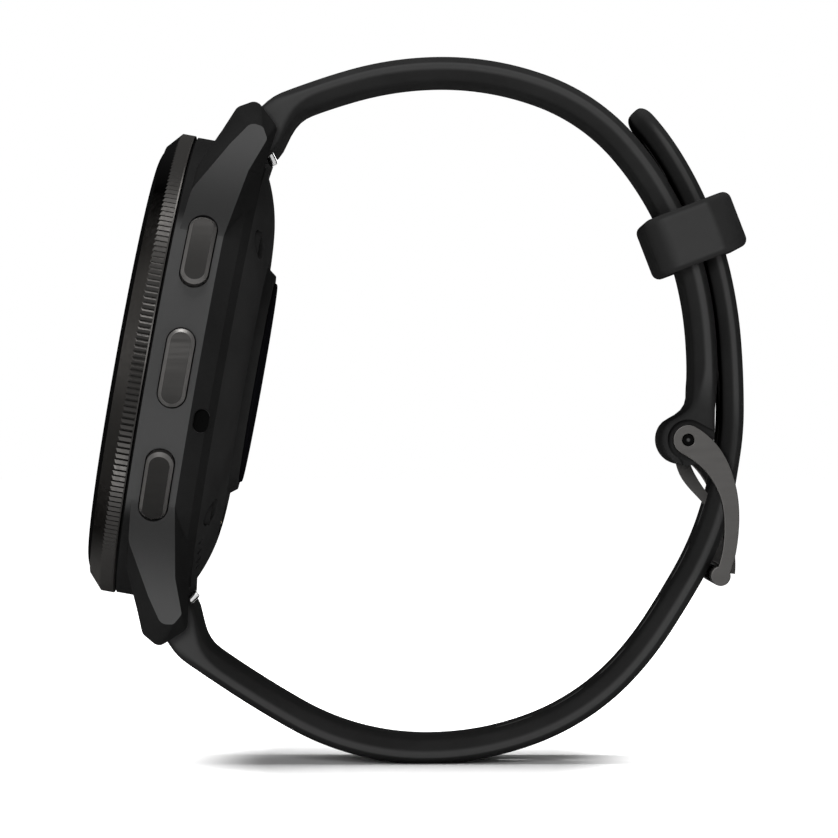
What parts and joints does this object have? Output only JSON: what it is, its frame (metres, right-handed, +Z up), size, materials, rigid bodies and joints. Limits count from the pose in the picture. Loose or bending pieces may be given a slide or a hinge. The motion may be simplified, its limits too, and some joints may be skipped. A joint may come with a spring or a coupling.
{
  "type": "gps running watch",
  "caption": "Round sports watch with a knurled bezel, side buttons, rear optical sensor and a buckled silicone strap on quick-release bars.",
  "frame": {"origin": "centre of the bounding box at its base, under the lowest point of the buckled strap", "axes": "+Z up in the standing pose; the strap loop lies in the X-Z plane, the dial faces -X tilted up a little, 3 o'clock faces -Y"},
  "size_m": [0.0632, 0.0457, 0.0677],
  "materials": {
    "antenna_copper": "plated",
    "bar_steel": "polished",
    "bezel_metal": "satin dark slate coating",
    "black_adhesive": "matte",
    "board_laminate": "solder mask",
    "buckle_metal": "satin slate",
    "button_metal": "satin dark slate, brighter bevel",
    "case_polymer": "matte, fine grain",
    "cell_wrap": "film wrap",
    "chassis_polymer": "matte",
    "contact_gold": "gold plated",
    "cover_polymer": "fine matte",
    "display": "dark, glossy",
    "flex_film": "satin film",
    "keeper_rubber": "matte silicone",
    "led_resin": "clear resin",
    "lens_glass": "polished, rounded edge",
    "mesh_steel": "dark woven mesh",
    "photodiode_silicon": "polished",
    "screw_steel": "satin",
    "seal_rubber": "matte",
    "sensor_glass": "polished black",
    "shield_steel": "bright",
    "strap_rubber": "matte silicone",
    "switch_body": "moulded",
    "tongue_metal": "satin slate"
  },
  "bodies": {
    "case": {"battery": "cell_wrap", "bezel_ring": "bezel_metal", "bezel_seal": "black_adhesive", "board_shields": "shield_steel", "buckle_pin": "bar_steel", "button_switches": "switch_body", "charging_contacts": "contact_gold", "contact_block": "cover_polymer", "display_flex": "flex_film", "display_panel": "display", "gnss_antenna": "antenna_copper", "inner_chassis": "chassis_polymer", "lens_adhesive": "black_adhesive", "lens_glass": "lens_glass", "lens_ring": "case_polymer", "lower_bar_fixed_tip": "bar_steel", "lower_bar_spring": "bar_steel", "lower_bar_tube": "bar_steel", "main_board": "board_laminate", "mid_case": "case_polymer", "port_mesh": "mesh_steel", "pressure_sensor": "shield_steel", "rear_cover": "cover_polymer", "rear_gasket": "seal_rubber", "rear_screws": "screw_steel", "sensor_board": "board_laminate", "sensor_flex": "flex_film", "sensor_leds": "led_resin", "sensor_photodiodes": "photodiode_silicon", "sensor_window": "sensor_glass", "speaker": "shield_steel", "strap_lower": "strap_rubber", "strap_upper": "strap_rubber", "upper_bar_fixed_tip": "bar_steel", "upper_bar_spring": "bar_steel", "upper_bar_tube": "bar_steel", "vibration_motor": "shield_steel"},
    "top_button": {"top_button_cap": "button_metal", "top_button_seal": "seal_rubber", "top_button_clip": "screw_steel"},
    "middle_button": {"middle_button_cap": "button_metal", "middle_button_seal": "seal_rubber", "middle_button_clip": "screw_steel"},
    "bottom_button": {"bottom_button_cap": "button_metal", "bottom_button_seal": "seal_rubber", "bottom_button_clip": "screw_steel"},
    "upper_release": {"upper_bar_release": "bar_steel"},
    "lower_release": {"lower_bar_release": "bar_steel"},
    "buckle": {"buckle_frame": "buckle_metal"},
    "tongue": {"buckle_tongue": "tongue_metal"},
    "keeper": {"keeper_loop": "keeper_rubber"}
  },
  "joints": [
    {"name": "top_button_press", "type": "slide", "parent": "case", "child": "top_button", "axis": [-0.0885, 0.866, -0.4921], "range_m": [0, 0.00045], "stiffness_N_per_m": 900},
    {"name": "middle_button_press", "type": "slide", "parent": "case", "child": "middle_button", "axis": [0, 1, 0], "range_m": [0, 0.00045], "stiffness_N_per_m": 900},
    {"name": "bottom_button_press", "type": "slide", "parent": "case", "child": "bottom_button", "axis": [0.0885, 0.866, 0.4921], "range_m": [0, 0.00045], "stiffness_N_per_m": 900},
    {"name": "upper_bar_release_slide", "type": "slide", "parent": "case", "child": "upper_release", "axis": [0, 1, 0], "range_m": [0, 0.0013], "stiffness_N_per_m": 450},
    {"name": "lower_bar_release_slide", "type": "slide", "parent": "case", "child": "lower_release", "axis": [0, 1, 0], "range_m": [0, 0.0013], "stiffness_N_per_m": 450},
    {"name": "buckle_swing", "type": "hinge", "parent": "case", "child": "buckle", "pos_m": [0.02605, 0, 0.03106], "axis": [0, -1, 0], "range_deg": [0, 2.5]},
    {"name": "tongue_lift", "type": "hinge", "parent": "buckle", "child": "tongue", "pos_m": [0.02605, 0, 0.03106], "axis": [0, -1, 0], "range_deg": [0, 2.5]},
    {"name": "keeper_slide", "type": "hinge", "parent": "case", "child": "keeper", "pos_m": [-0.00303, 0, 0.03936], "axis": [0, -1, 0], "range_deg": [-4, 12]}
  ]
}
